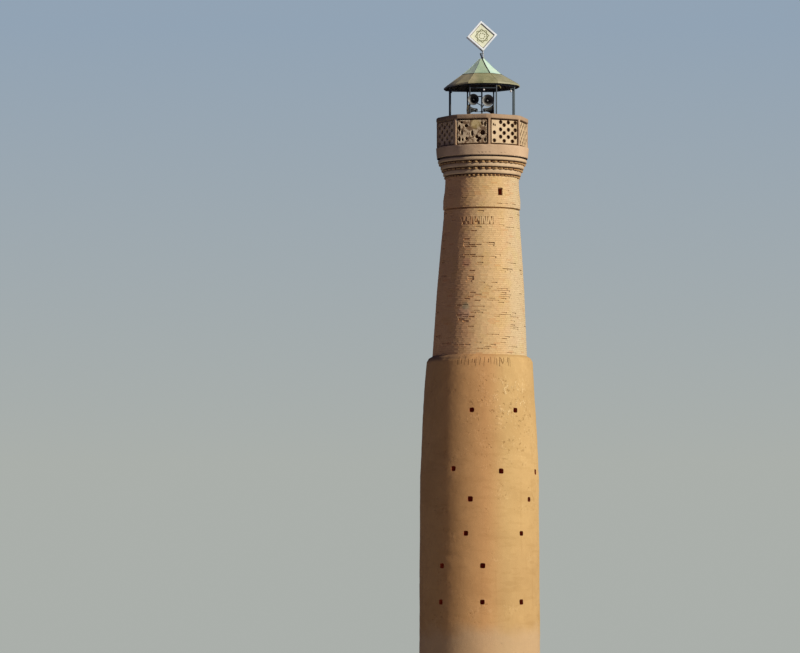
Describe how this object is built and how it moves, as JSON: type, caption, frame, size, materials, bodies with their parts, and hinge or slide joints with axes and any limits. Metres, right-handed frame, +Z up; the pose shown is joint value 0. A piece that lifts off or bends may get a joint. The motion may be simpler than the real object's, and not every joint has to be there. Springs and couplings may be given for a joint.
{
  "type": "minaret",
  "caption": "Tall round brick minaret, plastered below, with toothed cornice rings, a parapet of holed panels and a steel canopy over loudspeaker horns",
  "frame": {"origin": "centre of the flat foot, at ground level, on the axis of the stair well", "axes": "+Z up; -Y is the side with the two best seen parapet panels; +X to the right of it"},
  "size_m": [4, 3.9936, 22.7432],
  "materials": {
    "base_brick": "worn brick paving",
    "foot_plaster": "greyer mud plaster",
    "mud_plaster": "mud and straw plaster, rough",
    "brickwork": "buff brick, weathered",
    "drum_plaster": "smooth buff render",
    "parapet_plaster": "buff render, matte",
    "pierced_panel": "buff gypsum panels with many deep holes",
    "painted_steel": "grey-green paint",
    "skirt_sheet": "olive paint, dusty",
    "cap_sheet": "pale green paint",
    "sign_white": "white paint",
    "sign_face": "cream sheet",
    "horn_grey": "pale grey paint"
  },
  "bodies": {
    "root": {"base_floor": "base_brick", "foot_wall_front": "foot_plaster", "foot_wall_right": "foot_plaster", "foot_wall_left": "foot_plaster", "foot_wall_rear_right": "foot_plaster", "foot_wall_rear_left": "foot_plaster", "door_head": "foot_plaster", "plaster_wall_front": "mud_plaster", "plaster_wall_right": "mud_plaster", "plaster_wall_rear": "mud_plaster", "plaster_wall_left": "mud_plaster", "brick_wall_front": "brickwork", "brick_wall_right": "brickwork", "brick_wall_rear": "brickwork", "brick_wall_left": "brickwork", "slot_wall_left": "brickwork", "slot_wall_right": "brickwork", "slot_lintel": "brickwork", "cornice_ring_lower": "brickwork", "cornice_ring_middle": "brickwork", "cornice_ring_upper": "brickwork", "gallery_floor": "drum_plaster", "parapet_frame": "parapet_plaster", "parapet_panel_front_left": "pierced_panel", "parapet_panel_front_right": "pierced_panel", "parapet_panel_right_front": "pierced_panel", "parapet_panel_right_rear": "pierced_panel", "parapet_panel_rear_right": "pierced_panel", "parapet_panel_rear_left": "pierced_panel", "parapet_panel_left_rear": "pierced_panel", "parapet_panel_left_front": "pierced_panel", "pavilion_frame": "painted_steel", "roof_skirt": "skirt_sheet", "roof_cap": "cap_sheet", "sign_frame": "sign_white", "sign_panel_front": "sign_face", "sign_panel_rear": "sign_face", "finial_pole": "painted_steel", "horn_mast": "painted_steel", "horn_front_left": "horn_grey", "horn_front_right": "horn_grey", "horn_lower_left": "horn_grey", "horn_lower_right": "horn_grey"}
  },
  "joints": []
}
